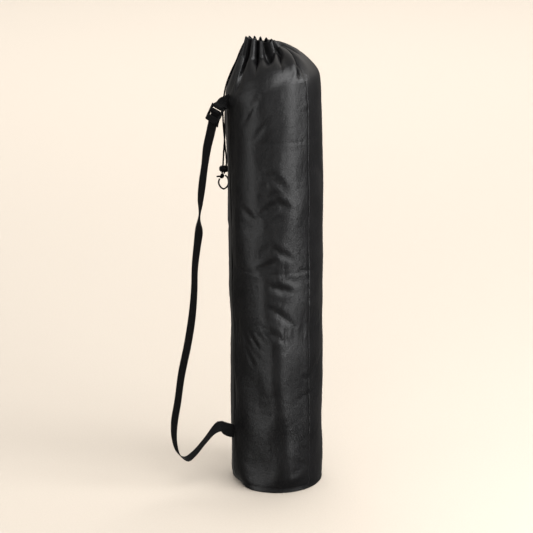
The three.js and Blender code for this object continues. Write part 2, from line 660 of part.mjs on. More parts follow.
addPiece("front_panel", frontPanel(), CLOTH);
addPiece("back_panel", backPanel(), CLOTH);
addPiece("base_panel", basePanel(), CLOTH);
addPiece("strap_tab", strapTab(), STRAPPING);
addPiece("ladder_lock", ladderLock(), PLASTIC, lockGroup);
addPiece("shoulder_strap", shoulderStrap(), STRAPPING);
addPiece("drawcord_run_1", cordTube(CORD_RUN_1, CORD.runSteps), BRAID);
addPiece("drawcord_run_2", cordTube(CORD_RUN_2, CORD.runSteps), BRAID);
addPiece("drawcord_loop", cordTube(CORD_LOOP, CORD.loopSteps), BRAID);
addPiece("cord_lock", cordLock(), PLASTIC);
addPiece("cord_knot", cordKnot(), BRAID);

export default bag;
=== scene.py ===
"""The looks of the mat bag: cloth, webbing, moulded locks, drawcord, floor, light and camera."""

import math

import bmesh
import bpy
import numpy as np
from mathutils import Matrix, Quaternion, Vector


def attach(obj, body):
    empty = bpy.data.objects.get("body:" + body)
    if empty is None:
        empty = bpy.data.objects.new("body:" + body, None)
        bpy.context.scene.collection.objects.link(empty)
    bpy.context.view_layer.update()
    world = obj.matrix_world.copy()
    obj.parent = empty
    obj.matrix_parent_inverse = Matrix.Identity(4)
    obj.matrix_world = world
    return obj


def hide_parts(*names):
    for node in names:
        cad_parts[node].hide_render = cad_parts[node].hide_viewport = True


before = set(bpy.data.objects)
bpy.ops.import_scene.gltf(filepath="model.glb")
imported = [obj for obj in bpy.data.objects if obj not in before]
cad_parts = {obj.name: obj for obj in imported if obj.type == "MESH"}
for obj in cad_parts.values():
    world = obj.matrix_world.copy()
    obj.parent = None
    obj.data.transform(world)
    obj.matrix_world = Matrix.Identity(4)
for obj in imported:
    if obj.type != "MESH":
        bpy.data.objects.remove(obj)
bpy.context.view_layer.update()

# The bag is in millimetres until a mesh is made. The floor, lights and camera are in metres.
# Angles are in degrees round the bag, and the front is at 270.
METRE = 1000
TINY = 1e-9
SEED = 7

# The photograph's camera.
CAMERA_PLACE = (0, -4.75, 2.1)
CAMERA_TURN = (90 - 19.385, 0, 0.239)
CAMERA_LENS, CAMERA_SENSOR = 180.3, 36

# Cloth tube, its flare and lean, its sewn foot and the tucked corner of the foot.
TUBE_RADIUS = 87.5
TUBE_BOTTOM = 2.4
FOOT_DRAW, FOOT_REACH = 0.9, 8
FLARE_WIDTH, FLARE_FROM, FLARE_TO = 1.6, 350, 700
LEAN_SHIFT, LEAN_POWER = 7.5, 2.2
TUCK_ANGLE, TUCK_SPREAD, TUCK_DEPTH, TUCK_REACH = 203, 20, 13, 11
CLOTH_WALL = 1.0

# Shoulder and the two rings of the gathered hem, with their rise to the side and the front.
SHOULDER_HEIGHT, SHOULDER_RISE = 780, 13
SHOULDER_ROUND, SHOULDER_SIDE_ROUND, SHOULDER_FRONT_ROUND = 1.33, 0.27, 0.75
SHOULDER_FRONT, SHOULDER_FRONT_SPREAD = 290, 40
MOUTH_X, MOUTH_Y = -31, 5
HEM_RADII = (36, 28.5)
HEM_HEIGHTS = (850, 870)
HEM_SIDE_RISE = (6, -4)
HEM_FRONT_RISE = (-8, 3)
PLEAT_DEPTH, PLEAT_WIDTH = 18, 0.6
TIP_DROP, TIP_SIDE = 6, (-0.2, 0.4)

# Valleys of the gathers, from the strap seam round.
# Columns: tube angle, mouth angle, start up the shoulder, depth, width.
GATHERS = np.array([
    (203, 203, 0.05, 1, 0.6), (216, 222, 0.08, 1.1, 0.8), (246, 258, 0.42, 1.1, 0.5),
    (264, 296, 0.6, 1, 2.6), (281, 337, 0.4, 1, 0.6), (314, 352, 0.1, 1, 0.6),
    (342, 374, 0.5, 0.95, 0.7), (369, 394, 0.25, 1, 0.6), (397, 416, 0.45, 0.9, 0.8),
    (425, 438, 0.3, 1, 0.6), (452, 461, 0.5, 0.95, 0.7), (480, 486, 0.2, 1, 0.6),
    (508, 511, 0.45, 0.9, 0.8), (535, 537, 0.35, 0.95, 0.6), (563, 563, 0.05, 1, 0.6),
])
TUBE_ANGLES, MOUTH_ANGLES, GATHER_STARTS, GATHER_DEPTHS, GATHER_WIDTHS = GATHERS.T
PLEATS = len(GATHERS) - 1
SIDE_SEAM = 5

# Slack folds: angle, height, half length, half width, tilt of the fold's line, depth.
FOLDS = np.array([
    (270, 627, 16, 9, -44, 0.9), (263, 568, 16, 9, 40, 1.1), (279, 577, 13, 9, -27, 0.7),
    (234, 558, 14, 9, -34, 0.5), (274, 488, 16, 9, -39, 1.2), (258, 460, 20, 9, 31, 1.3),
    (274, 415, 16, 9, -14, 0.9), (277, 360, 24, 9, -40, 0.5), (266, 326, 18, 9, -32, 0.8),
    (236, 285, 26, 10, -55, 1.5), (301, 190, 20, 10, 28, 0.6), (20, 450, 26, 12, 24, 4),
    (60, 620, 30, 12, -30, 5), (75, 380, 38, 14, -35, 6), (85, 150, 80, 15, -85, 5),
    (95, 520, 34, 12, 28, 5), (110, 300, 28, 12, 32, 4), (150, 400, 30, 12, -30, 4),
])

# Small creases: angle and height of each end, half width, depth. A depth below zero is a ridge.
CREASES = np.array([
    (264, 648, 283, 620, 5, 0.6), (268, 644, 256, 606, 6, 1.2), (250, 596, 262, 586, 6, 1),
    (271, 586, 283, 574, 5, 0.6), (270, 584, 257, 563, 5, 1.4), (224, 570, 240, 550, 5, 0.6),
    (266, 498, 280, 479, 4, 1.2), (240, 452, 268, 478, 4, -1.5), (255, 450, 270, 468, 5, 1.8),
    (262, 418, 288, 408, 4, 1.2), (258, 384, 296, 336, 6, 0.6), (232, 322, 249, 290, 4, 1.6),
    (223, 294, 242, 252, 4, 1.6), (302, 96, 315, 70, 4, 1.2), (298, 450, 318, 440, 3, 0.9),
    (300, 236, 316, 226, 3, 1), (330, 640, 352, 610, 5, 1.6), (10, 560, 34, 528, 5, 1.8),
    (44, 700, 62, 664, 5, 1.6), (58, 470, 86, 430, 5, 2), (84, 560, 110, 590, 5, 1.8),
    (70, 300, 96, 262, 6, 2), (104, 210, 128, 236, 5, 1.6), (120, 640, 142, 610, 5, 1.6),
    (140, 340, 166, 306, 5, 1.8), (168, 500, 192, 520, 4, 1.4), (20, 240, 46, 214, 5, 1.6),
])

# Bends that the settled cloth keeps, in the same columns.
BENDS = np.array([
    (291, -110, 259, 460, 26, -6), (304.5, 816, 308.5, 874, 4, 13), (216, 862, 213.5, 794, 6, 4),
    (256, 790, 228, 726, 5, 1.6), (269, 750, 243, 698, 5, 1.6), (318, 306, 349, 345, 5, 0.9),
    (318, 234, 350, 270, 5, 0.9), (300, 188, 347, 218, 4, 0.6), (316, 180, 344, 176, 4, 0.8),
    (276, 10, 314, 44, 12, -1.6), (290, 70, 314, 46, 4, 0.7),
])

# Ends of a crease as shares of its length, and the lip beside it as shares of its depth and width.
CREASE_START, CREASE_END = (-0.1, 0.35), (0.65, 1.1)
LIP_DEPTH, LIP_PLACE, LIP_WIDTH = 0.5, 2.2, 1.6

# Levels between which a feature of the cloth starts or ends: 1 is the brim, 2 the foot of the hem.
TUBE_START, TUBE_END = (0, 0.06), (0.94, 1.04)
GATHER_BLEND = (0.95, 1.05)
LOOSE_RISE = (0.25, 0.45)
SEAM_RISE, SEAM_END = (0.5, 0.95), (1, 1.25)
BEND_START = (0, 0.04)
WAVE_START, WAVE_END = (0, 0.05), (0.95, 1.1)
SMOOTH_END = (1.6, 2)

# Relief of a panel's face: its seams, and bands of a rise at a height, or a level, and half width.
SEAM_RIDGE, SEAM_RIDGE_WIDTH = 0.6, 11
SEAM_GROOVE, SEAM_GROOVE_WIDTH = 0.6, 1.3
FOOT_BANDS = ((0.5, 3.5, 3), (-0.9, 9, 3))
PUCKER, PUCKER_LENGTH, PUCKER_WIDTH, PUCKER_CELLS = 0.5, 3.4, 6, (3, 30)
WAVE, WAVE_CELL = 0.5, (22, 10)
CRUMPLE, CRUMPLE_CELL = 0.3, (8, 4)
HEM_BANDS = ((-0.5, 2.2, 0.06),)

# Lines round the tube where the empty bag lay folded: a low lip and the groove above it.
PRESS_HEIGHTS = (443, 696)
PRESS_BANDS = ((0.3, -5, 4), (-0.8, 0, 2.2))
PRESS_MEAN, PRESS_CHANGE, PRESS_CELLS = 0.6, 0.4, (8, 60)

# Stages in which the cloth settles: columns per pleat, rows of tube, shoulder and hem, rounds.
STAGES = ((8, (100, 13, 4), 240), (16, (200, 26, 7), 90))
PHASE_STEPS, SHOULDER_STEPS = 400, 200
SMOOTH_ROUNDS, SMOOTH_SHARE = 1, 0.5
BRIM_ROUNDS, BRIM_SHARE, BRIM_LEVEL, BRIM_SPREAD = 40, 0.5, 1.03, 0.1
FIRST_PUSH, FIRST_PUSH_CELLS = 2, (16, 18)

# How strongly the threads, their diagonals and their stiffness against bending hold their length.
THREAD_PULL, THREAD_PUSH, DIAGONAL = 1, 0.6, 0.3
BENDING_REACH, BENDING = 2, 0.25

# Slack of the cloth, the least of it all round, the share of it low down, and the two loose sides.
SLACK = 0.006
LOOSE, LOOSE_LOW = 0.3, 0.3
LOOSE_SIDES = ((1, 272, 30), (0.7, 90, 60))

# Columns and rows of the finished panels, and how far the columns crowd towards the seams.
FRONT_GRID = (150, 290)
BACK_GRID = (190, 240)
SEAM_CROWDING = 0.55

# Base: rings of its flat, height of its upper face, and its rim, out from the edge and up.
BASE_RINGS, BASE_TOP = (0, 20, 40, 60, 74), 1.2
BASE_RIM = (
    (-4, 0), (-1.4, 0.15), (-0.4, 0.6), (0, 1.3), (-0.2, 2), (-0.9, 2.3), (-1.8, 1.9), (-4, 1.4),
)
BASE_SIDES, BASE_TUCK_POWER = 180, 4

# Distances in metres at which doubled points are joined, and the angle of a sharp edge.
WELD, BAND_WELD = 1e-6, 1e-7
SHARP_ANGLE = 50

# Webbing strap, as in the solids: distance out, height, turn of its width round +Z, and its dip.
WEBBING_WIDTH, WEBBING_THICKNESS = 25, 1.6
STRAP_ANGLE = 203
STRAP_ROUTE = (
    (133, 706, -50, 0), (140, 678, -53, 0), (145, 644, -60, 0), (150, 610, -58, 0),
    (154, 578, -65, 0), (156, 548, -83, 0), (157, 522, -55, 0), (161, 492, -57, 0),
    (166, 450, -61, 0), (168, 400, -60, 0), (173, 350, -57, 0), (182, 298, -57, 0),
    (195, 240, -58, 0), (203, 187, -59, 0), (211, 141, -59, 0), (211, 108, -63, 0),
    (203, 79, -67, 0), (187, 65, -69, 0), (172, 73, -76, 2), (150, 95, -83, 5), (130, 115, -84, 16),
    (117, 121, -86, 36), (105, 114, -86, 64),
)
STRAP_END_HEIGHT, STRAP_END_RISE, STRAP_END_TURN, STRAP_END_DIP = 106, -1.6, -86, 86
STRAP_TAIL = ((25, -9.5), (16, -6.6), (7, -5.2), (3, -4.3))
STRAP_LEAD = ((4.5, 0), (7.5, -2.1), (14, -2.1))
STRAP_WRAP = 234
SEWN_LEAD, SEWN_STAND, SEWN_SINK = 5, 0.6, 1.2
TAB_HEIGHT, TAB_RISE, TAB_LAYER, TAB_STEPS = 763, 2, 1.1, 20
TAB_TWIST, TAB_CLOSE, TAB_BEND_STEPS = (0.2, 1), (0, 0.8), 15
WRAP_STEPS, HELD_STEPS, ROUTE_STEPS, STRAP_STEP = 14, 3, 12, 5
BAND_STEP, BAND_WIDE, BAND_THICK = 15, 0.35, 0.8

# Ladder lock.
LOCK_TOP = (117.7, 754)
LOCK_LOW = (130.6, 728.8)
LOCK_TURN = -47
LOCK_WIDTH, LOCK_RAIL, LOCK_RAIL_LENGTH, LOCK_THICKNESS = 34, 3.6, 24, 4.4
LOCK_BAR, LOCK_MIDDLE_BAR = 4, -9
PLATE_TOP, PLATE_LENGTH, PLATE_WIDTH, PLATE_THICKNESS = -19, 11.5, 31, 2.4
PLATE_CORNER, PLATE_BACK, PLATE_TILT = 3.5, -0.8, 12
BAR_CLEARANCE, BAR_SIDES = 0.3, 24
RIBS, RIB_SIZE, RIB_PITCH, RIB_INSET, RIB_START = 3, 0.9, 2.3, 7, 3
RAIL_BEVEL, RIB_BEVEL, PLATE_BEVEL, BEVEL_PROFILE = 0.9, 0.3, 0.5, 0.6
PLATE_CORNER_STEPS, PLATE_EDGE_ANGLE = 6, 0.9

# Drawcord routes: two runs from the slit in the hem to the knot, and the loop below it.
CORD_DIAMETER = 3.2
RUN_1 = (
    (-54.2, 27.4, 857.4), (-58, 30.5, 856.2), (-61.4, 32.6, 850), (-66.8, 33.6, 838),
    (-72, 34.2, 824), (-78.5, 34.2, 810), (-84.8, 34.2, 795), (-91, 34, 776), (-94.8, 33.2, 752),
    (-96.5, 32.4, 727), (-97.3, 31.6, 697), (-98.3, 31, 668), (-100, 31.9, 645), (-101.3, 33, 622),
    (-102, 33, 611), (-103.2, 33, 603),
)
RUN_2 = (
    (-56.7, 24.6, 857.4), (-60.5, 27.5, 856), (-64, 29.6, 849.4), (-69.4, 30.6, 837.4),
    (-74.6, 31.2, 823.4), (-81.1, 31.3, 809.4), (-87.8, 31.5, 794), (-94.4, 31.8, 775),
    (-99.1, 32.4, 752), (-101.3, 33.2, 730), (-100.9, 34.1, 706), (-99.3, 35, 680),
    (-97.4, 34.9, 655), (-95.6, 33.8, 637), (-94.9, 33, 622), (-96.8, 33, 611), (-99.5, 33, 602.1),
)
LOOP = (
    (-97.4, 33, 598.8), (-93.4, 33, 594.2), (-91.3, 33, 586.5), (-93.2, 33, 577.5),
    (-100.4, 33, 571.8), (-107.2, 33, 576.8), (-109.8, 33, 584.6), (-108.2, 33, 591.7),
)
BRAID_STEP, BRAID_SIDES, BRAID_PITCH, BRAID_DEPTH = 0.3, 16, 3.4, 0.07
BRAID_FIRST_SIDE = (0.3, 0.9, 0.3)
SPAN_STEPS, PATH_STEP = 40, 8

# Cord lock and knot.
BEAN_PLACE = (-99.2, 33, 611.3)
BEAN_HALF_LENGTH, BEAN_WAIST, BEAN_LOBE, BEAN_BLUNT = 9.6, 6.5, 7.1, 0.7
BEAN_HOLES = ((-101.2, 9), (-94.6, 9), (-103, -9), (-99.2, -9))
BEAN_ROWS, BEAN_SIDES, BEAN_GROOVE, BEAN_GROOVE_WIDTH = 49, 65, 0.25, 0.35
DIMPLE_DEPTH, DIMPLE_WIDTH, DIMPLE_DRAW = 1.1, 1.3, 0.93
KNOT_PLACE, KNOT_TILT = (-103.4, 33, 597), 28
KNOT_SIZE, KNOT_STEPS = (0.84, 1.4, 1.5), 240
TAIL_START, TAIL_END = (-104.6, 33, 597), (-114.1, 33, 595.8)
TAIL_SEALED, TAIL_TAPER = 1.2, 0.6

# Shader inputs of the woven trim, and the two ends of each colour, in linear RGB.
FUZZY = {"Specular_IOR_Level": 0.12, "Sheen_Weight": 0.01, "Sheen_Roughness": 0.5}
RAMP_ENDS = (0.3, 0.7)
CLOTH_BLACKS = ((0.0045, 0.0045, 0.0049), (0.0065, 0.0065, 0.007))
TRIM_BLACKS = ((0.0018, 0.0018, 0.002), (0.004, 0.004, 0.0043))
PAPER_CREAMS = ((0.42, 0.374, 0.321), (0.44, 0.392, 0.337))
GLOW_COLOUR = (1, 0.95, 0.88, 1)

# Round paper floor that turns up far from the bag.
FLOOR_RADIUS, FLOOR_SIDES = 6.5, 96
COVE, COVE_STEPS, RIM_HEIGHT = 1.5, 13, 4

# Lights: name, place, target, size, watts, roll, and whether the bag mirrors it.
LIGHTS = (
    ("right_softbox", (1.58, -1.64, 0.95), (0, 0, 0.95), (0.8, 2.6), 25, 0, True),
    ("right_top_softbox", (1.95, -0.75, 1.8), (0, 0, 0.8), (1.4, 0.8), 21, 0, True),
    ("left_softbox", (-1.94, -1.12, 0.45), (0, 0, 0.45), (0.7, 3.4), 11.5, 30, True),
    ("ceiling_wash", (0, 0.5, 6), (0, 0.5, 0), (16, 16), 1000, 0, False),
    ("back_wash", (0.4, 3.3, 3), (0.4, 3.3, 0), (6, 2.5), 180, 0, False),
    ("side_light", (2.4, -0.85, 1.2), (0, 0, 0.2), (0.9, 0.6), 55, 0, False),
    ("floor_wash", (0.8, -1.2, 2.6), (-0.1, -0.1, 0), (1.6, 1.2), 19, 0, True),
    ("top_fill", (-0.1, -1.5, 2.2), (0, 0, 0.8), (1.2, 1.6), 13, 0, True),
    ("front_fill", (-0.15, -2, 0.35), (0, 0, 0.9), (0.6, 0.6), 1, 0, True),
)

# Glow of the room by direction: axis, where its change starts and ends, and the strength at each.
GLOW = (
    ("Y", -0.2, 0.5, 0, 0.9), ("Z", 0.05, 0.35, 0, 1), ("X", -0.7, 0.7, 0.2, 1),
    ("Y", 0.3, 0.85, 0.03, 0.18), ("X", -0.7, 0.7, 1.25, 0.7),
)


def cosine(angle):
    return np.cos(np.radians(angle))


def sine(angle):
    return np.sin(np.radians(angle))


def bell(offset, width):
    return np.exp(-((offset / width) ** 2))


def smoothstep(value, low, high):
    share = np.clip((value - low) / (high - low), 0, 1)
    return share * share * (3 - 2 * share)


def wrapped(degrees):
    return np.mod(degrees + 180, 360) - 180


def stacked(*parts):
    return np.stack(np.broadcast_arrays(*parts), -1)


def unit(vectors):
    return vectors / np.linalg.norm(vectors, axis=-1, keepdims=True)


# Smooth sampling.

def cubic_weights(share):
    """Weights of the four points round a place, for a smooth curve through them."""
    return stacked(
        ((2 - share) * share - 1) * share / 2,
        ((3 * share - 5) * share * share + 2) / 2,
        ((4 - 3 * share) * share + 1) * share / 2,
        (share - 1) * share * share / 2,
    )


def sampled(grid, across, up):
    """Points read smoothly off a grid that closes on itself across and ends at its foot and top."""
    column = np.floor(across).astype(int)
    weights = cubic_weights(across - column)
    strips = sum(weights[:, k, None, None] * grid[(column + k - 1) % len(grid)] for k in range(4))
    last = grid.shape[1] - 1
    row = np.clip(np.floor(up).astype(int), 0, last - 1)
    weights = cubic_weights(up - row)
    return sum(weights[:, k, None] * strips[:, np.clip(row + k - 1, 0, last)] for k in range(4))


def noise(shape, cells, seed):
    """Smooth seeded noise over a grid of that shape, from about -1 to 1."""
    lattice = np.random.default_rng(seed).uniform(-1, 1, (cells[0], cells[1], 1))
    across = np.arange(shape[0]) * cells[0] / shape[0]
    up = np.arange(shape[1]) * (cells[1] - 1) / (shape[1] - 1)
    return sampled(lattice, across, up)[..., 0]


def steps_along(points, axis=0):
    """Lengths of the steps between the points of a line, or along an axis of a grid."""
    return np.linalg.norm(np.diff(points[..., :3], axis=axis), axis=-1)


def run_along(steps):
    """The length run up to each point, from the lengths of the steps between the points."""
    return np.concatenate([[0], np.cumsum(steps)])


def heading(points, closed):
    """The way from the point before to the point after, along a line or across a grid."""
    if closed:
        return np.roll(points, -1, 0) - np.roll(points, 1, 0)
    return np.gradient(points, axis=0)


def smooth_route(points, per_span):
    """A dense smooth line through given points, closer together where they are."""
    points = np.array(points, float)
    ends = (2 * points[:1] - points[1:2], 2 * points[-1:] - points[-2:-1])
    points = np.concatenate([ends[0], points, ends[1]])
    steps = np.sqrt(steps_along(points))[:, None]
    slopes = np.diff(points, axis=0) / steps
    both = (points[2:] - points[:-2]) / (steps[:-1] + steps[1:])
    slopes_at = slopes[:-1] - both + slopes[1:]
    line = []
    for i in range(len(points) - 3):
        share = np.linspace(0, 1, per_span, endpoint=False)[:, None]
        start, end = points[i + 1], points[i + 2]
        leave, arrive = slopes_at[i] * steps[i + 1], slopes_at[i + 1] * steps[i + 1]
        bend = 3 * (end - start) - 2 * leave - arrive
        turn = 2 * (start - end) + leave + arrive
        line.append(start + share * (leave + share * (bend + share * turn)))
    return np.concatenate(line + [points[-2:-1]])


def even_steps(line, step):
    """The same line with points an even step apart."""
    reach = run_along(steps_along(line))
    places = np.linspace(0, reach[-1], max(2, round(reach[-1] / step) + 1))
    return stacked(*[np.interp(places, reach, column) for column in line.T])


# Shape of the cloth.

def cloth_angle(pleat, angles):
    """Angle of the cloth at a place counted in pleats from the strap seam."""
    rounds = np.floor(pleat / PLEATS)
    return np.interp(pleat - rounds * PLEATS, np.arange(PLEATS + 1), angles) + 360 * rounds


def lean(height):
    return -LEAN_SHIFT * np.maximum(height / SHOULDER_HEIGHT, 0) ** LEAN_POWER


def tuck(angle):
    return TUCK_DEPTH * bell(wrapped(angle - TUCK_ANGLE), TUCK_SPREAD)


def fold_depth(angle, height):
    depth = np.zeros(np.broadcast(angle, height).shape)
    for at, middle, length, width, tilt, deep in FOLDS:
        side = np.radians(wrapped(angle - at)) * TUBE_RADIUS
        rise = height - middle
        along = side * cosine(tilt) + rise * sine(tilt)
        across = rise * cosine(tilt) - side * sine(tilt)
        depth += deep * bell(along, length) * bell(across, width)
    return depth


def crease_depth(creases, angle, height):
    """Depth of a table of creases, each with a raised lip beside it."""
    depth = np.zeros(np.broadcast(angle, height).shape)
    for start, low, end, high, width, deep in creases:
        reach = np.array([np.radians(wrapped(end - start)) * TUBE_RADIUS, high - low])
        length = np.linalg.norm(reach)
        side = np.radians(wrapped(angle - start)) * TUBE_RADIUS
        rise = height - low
        along = (side * reach[0] + rise * reach[1]) / length ** 2
        across = (rise * reach[0] - side * reach[1]) / length
        fade = smoothstep(along, *CREASE_START) * (1 - smoothstep(along, *CREASE_END))
        lip = LIP_DEPTH * bell(across - LIP_PLACE * width, LIP_WIDTH * width)
        depth += deep * fade * (bell(across, width) - lip)
    return depth


def tube_point(angle, height, folded=True):
    dent = FOOT_DRAW * np.exp(-height / FOOT_REACH) + tuck(angle) * np.exp(-height / TUCK_REACH)
    if folded:
        dent = dent + fold_depth(angle, height)
    radius = TUBE_RADIUS + FLARE_WIDTH * smoothstep(height, FLARE_FROM, FLARE_TO) - dent
    return stacked(radius * cosine(angle) + lean(height), radius * sine(angle), height)


def hem_point(angle, rise):
    radius = np.interp(rise, (0, 1), HEM_RADII)
    foot, top = [
        height + side * cosine(angle) - front * sine(angle)
        for height, side, front in zip(HEM_HEIGHTS, HEM_SIDE_RISE, HEM_FRONT_RISE)]
    height = foot + (top - foot) * rise
    return stacked(MOUTH_X + radius * cosine(angle), MOUTH_Y + radius * sine(angle), height)


def plain_point(pleat, level, folded=True):
    """The bag without its gathers: level 0 to 1 is the tube, 1 to 2 the shoulder, 2 to 3 the hem."""
    angle = cloth_angle(pleat, TUBE_ANGLES)
    brim = SHOULDER_HEIGHT + SHOULDER_RISE * cosine(angle)
    low = tube_point(angle, TUBE_BOTTOM + (brim - TUBE_BOTTOM) * np.clip(level, 0, 1), folded)
    high = hem_point(cloth_angle(pleat, MOUTH_ANGLES), np.clip(level - 2, 0, 1))
    front = bell(wrapped(angle - SHOULDER_FRONT), SHOULDER_FRONT_SPREAD)
    roundness = SHOULDER_ROUND + SHOULDER_SIDE_ROUND * cosine(angle) + SHOULDER_FRONT_ROUND * front
    power = 2 / roundness
    turn = np.clip(level - 1, 0, 1) * math.pi / 2
    point = high + (low - high) * (np.cos(turn) ** power)[..., None]
    point[..., 2] = low[..., 2] + (high - low)[..., 2] * np.sin(turn) ** power
    return point


def grid_normals(grid, closed):
    """Outward normals of a grid of points."""
    return unit(np.cross(heading(grid, closed), np.gradient(grid, axis=1)))


def even_phase(phase):
    """Moves places within a pleat so that they lie an even length of cloth apart at the mouth."""
    fine = np.linspace(0, 1, PHASE_STEPS)
    depth = PLEAT_DEPTH * np.sin(math.pi * fine) ** PLEAT_WIDTH
    pitch = 2 * math.pi * HEM_RADII[1] / PLEATS
    length = run_along(np.hypot(np.diff(depth), pitch * np.diff(fine)))
    return np.interp(phase, length / length[-1], fine)


def gathered_cloth(pleat, level):
    """The outer face of the bag with its gathers, before the cloth settles."""
    whole = np.floor(pleat)
    phase = pleat - whole
    phase = phase + (even_phase(phase) - phase) * smoothstep(level, 1, 2)
    pleat = whole + phase
    valley = np.where(phase < 0.5, whole, whole + 1).astype(int)
    start, depth = GATHER_STARTS[valley], GATHER_DEPTHS[valley]
    crest = np.sin(math.pi * phase) ** GATHER_WIDTHS[valley]
    dent = PLEAT_DEPTH * depth * (1 - crest) * smoothstep(level - 1, start, 1)
    point = plain_point(pleat, level)
    point = point - grid_normals(point, True) * dent[..., None]
    behind = smoothstep(sine(cloth_angle(pleat, MOUTH_ANGLES)), *TIP_SIDE)
    point[..., 2] -= TIP_DROP * (1 - crest) * behind * smoothstep(level, 2, 3)
    return point


def grid_levels(tube, shoulder, hem):
    """Levels of the rows that settle, an even length of cloth apart on the shoulder."""
    fine = np.linspace(1, 2, SHOULDER_STEPS)
    pleat, level = np.meshgrid(np.arange(PLEATS) + 0.5, fine, indexing="ij")
    length = run_along(steps_along(plain_point(pleat, level), 1).mean(0))
    places = np.linspace(0, length[-1], shoulder, endpoint=False)
    return np.concatenate([
        np.linspace(0, 1, tube, endpoint=False),
        np.interp(places, length, fine),
        np.linspace(2, 3, hem),
    ])


def thread_groups(shape, slack):
    """Pairs of cloth points and their length at rest, in lists in which no point comes twice."""
    columns, rows = shape.shape[:2]
    place = np.arange(columns * rows).reshape(columns, rows)
    flat = shape.reshape(-1, 3)
    longer = slack.ravel()
    groups = []

    def add(a, b, pull, push):
        a, b = a.ravel(), b.ravel()
        span = flat[b] - flat[a]
        rise = np.abs(span[:, 2:]) / np.linalg.norm(span, axis=1, keepdims=True)
        rest = np.linalg.norm(span * (1 + rise * (longer[a] + longer[b])[:, None] / 2), axis=1)
        groups.append((a, b, rest, pull, push))

    right = np.roll(place, -1, 0)
    for odd in (0, 1):
        add(place[odd::2], right[odd::2], THREAD_PULL, THREAD_PUSH)
        add(place[:, odd:-1:2], place[:, odd + 1::2], THREAD_PULL, THREAD_PUSH)
        add(place[:, odd:-1:2], right[:, odd + 1::2], DIAGONAL, DIAGONAL)
        add(right[:, odd:-1:2], place[:, odd + 1::2], DIAGONAL, DIAGONAL)
        picked = np.arange(columns) // BENDING_REACH % 2 == odd
        add(place[picked], np.roll(place, -BENDING_REACH, 0)[picked], 0, BENDING)
        picked = np.flatnonzero(np.arange(rows - BENDING_REACH) // BENDING_REACH % 2 == odd)
        add(place[:, picked], place[:, picked + BENDING_REACH], 0, BENDING)
    return groups


def settled(points, shape, slack, held, rounds):
    """Cloth points after their threads have drawn back to their own length."""
    place = points.reshape(-1, 3).copy()
    free = np.where(held, 0.0, 1.0).ravel()
    groups = []
    for a, b, rest, pull, push in thread_groups(shape, slack):
        total = np.maximum(free[a] + free[b], TINY)
        shares = (free[a] / total)[:, None], (free[b] / total)[:, None]
        groups.append((a, b, rest, pull, push, *shares))
    for _ in range(rounds):
        for a, b, rest, pull, push, share_a, share_b in groups:
            span = place[b] - place[a]
            miss = 1 - rest / np.sqrt((span * span).sum(1))
            move = span * (miss * np.where(miss > 0, pull, push))[:, None]
            place[a] += move * share_a
            place[b] -= move * share_b
    return place.reshape(points.shape)


def smoothed(points, share, rounds):
    """Points drawn towards the middle of their neighbours round the bag and up it."""
    for _ in range(rounds):
        near = (np.roll(points, 1, 0) + np.roll(points, -1, 0)) / 2
        between = (points[:, :-2] + points[:, 2:]) / 2
        above = np.concatenate([points[:, :1], between, points[:, -1:]], 1)
        points = points + share * ((near + above) / 2 - points)
    return points


def cloth_grid():
    """The settled outer face of the cloth, with its columns per pleat and the levels of its rows."""
    moved = None
    for per_pleat, rows, rounds in STAGES:
        levels = grid_levels(*rows)
        pleat, level = np.meshgrid(np.arange(PLEATS * per_pleat) / per_pleat, levels, indexing="ij")
        angle = cloth_angle(pleat, TUBE_ANGLES)
        on_tube = smoothstep(level, *TUBE_START) * (1 - smoothstep(level, *TUBE_END))
        near_brim = BRIM_SHARE * bell(level - BRIM_LEVEL, BRIM_SPREAD)[..., None]
        guide = smoothed(gathered_cloth(pleat, level), near_brim, BRIM_ROUNDS)
        plain = smoothed(plain_point(pleat, level, False), near_brim, BRIM_ROUNDS)
        shape = plain + (guide - plain) * smoothstep(level, *GATHER_BLEND)[..., None]
        if moved is None:
            push = FIRST_PUSH * noise(guide.shape, FIRST_PUSH_CELLS, SEED) * on_tube
            points = guide
        else:
            push = -crease_depth(CREASES, angle, guide[..., 2]) * on_tube
            rows_before = np.interp(levels, levels_before, np.arange(len(levels_before)))
            points = guide + sampled(moved, pleat[:, 0] * per_pleat_before, rows_before)
        points = points + grid_normals(points, True) * push[..., None]
        sides = [share * bell(wrapped(angle - at), wide) for share, at, wide in LOOSE_SIDES]
        raised = LOOSE_LOW + (1 - LOOSE_LOW) * smoothstep(level, *LOOSE_RISE)
        loose = (LOOSE + sum(sides)) * raised
        held = (level >= 2) | (level <= 0)
        points = settled(points, shape, SLACK * loose * on_tube, held, rounds)
        moved = points - guide
        per_pleat_before, levels_before = per_pleat, levels
    share = SMOOTH_SHARE * (1 - smoothstep(level, *SMOOTH_END))[..., None]
    return smoothed(guide + moved, share, SMOOTH_ROUNDS), per_pleat, levels


# Meshes.

def new_object(name, data):
    made = bpy.data.objects.new(name, data)
    bpy.context.scene.collection.objects.link(made)
    return made


def mesh_object(name, points, faces, uvs=None):
    """A smooth mesh object from points in millimetres."""
    mesh = bpy.data.meshes.new(name)
    mesh.from_pydata((np.asarray(points, float).reshape(-1, 3) / METRE).tolist(), [], faces)
    if uvs is not None:
        corner = [point for face in faces for point in face]
        layer = mesh.uv_layers.new(name="UVMap")
        flat = np.asarray(uvs, float).reshape(-1, 2) / METRE
        layer.data.foreach_set("uv", flat[corner].ravel())
    mesh.shade_smooth()
    mesh.set_sharp_from_angle(angle=math.radians(SHARP_ANGLE))
    return new_object(name, mesh)


